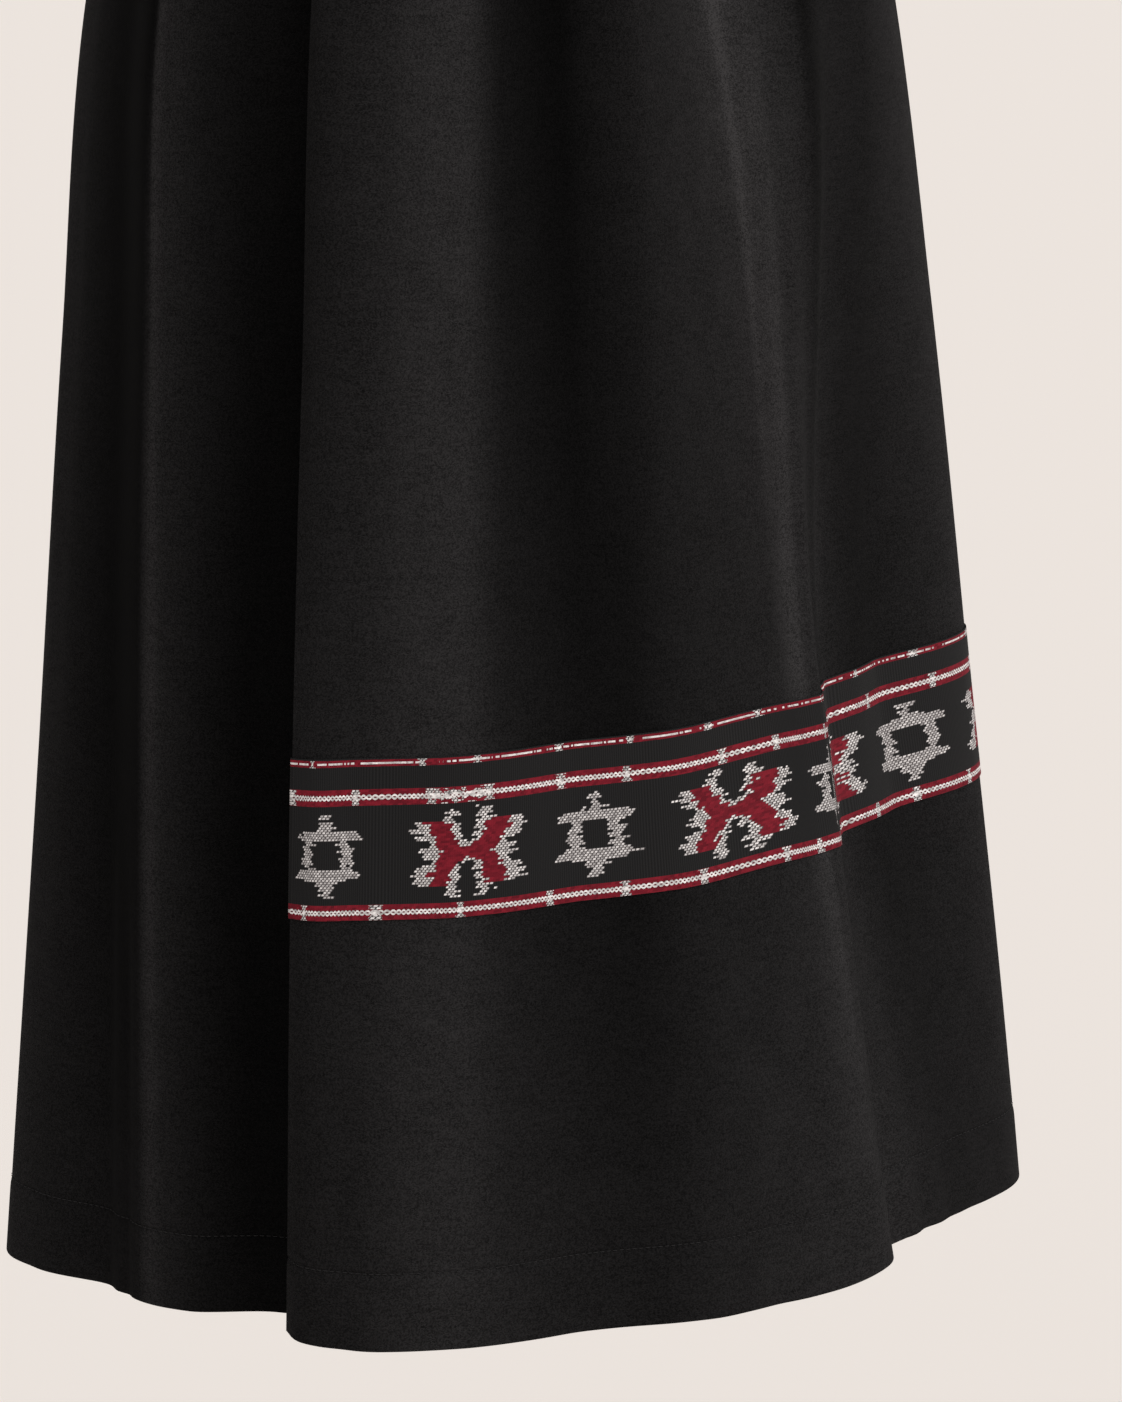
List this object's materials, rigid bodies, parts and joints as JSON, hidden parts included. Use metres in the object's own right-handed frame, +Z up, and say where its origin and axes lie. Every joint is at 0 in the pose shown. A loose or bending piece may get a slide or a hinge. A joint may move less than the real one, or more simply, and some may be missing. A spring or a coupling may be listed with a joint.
{
  "type": "wrap skirt",
  "caption": "Long flared wrap skirt of black cloth. Its front panel laps over an under panel, with a folded waistband and a patterned ikat band above the hem.",
  "frame": {"origin": "centre of the waist opening, level with the waistband's top edge, where the wearer's waist holds it", "axes": "+Z up out of the waist, -Y towards the wearer's front, +X towards the wearer's left"},
  "size_m": [0.568, 0.4001, 0.9005],
  "materials": {
    "front_panel": "matte black twill",
    "back_panel": "matte black twill",
    "under_panel": "matte black twill",
    "waistband": "matte black twill, folded",
    "front_ikat_band": "tied and dyed warp, red and white on black",
    "back_ikat_band": "tied and dyed warp, red and white on black",
    "waist_button": "satin black"
  },
  "bodies": {
    "root": {"front_panel": "front_panel", "back_panel": "back_panel", "under_panel": "under_panel", "waistband": "waistband", "front_ikat_band": "front_ikat_band", "back_ikat_band": "back_ikat_band", "waist_button": "waist_button"}
  },
  "joints": []
}
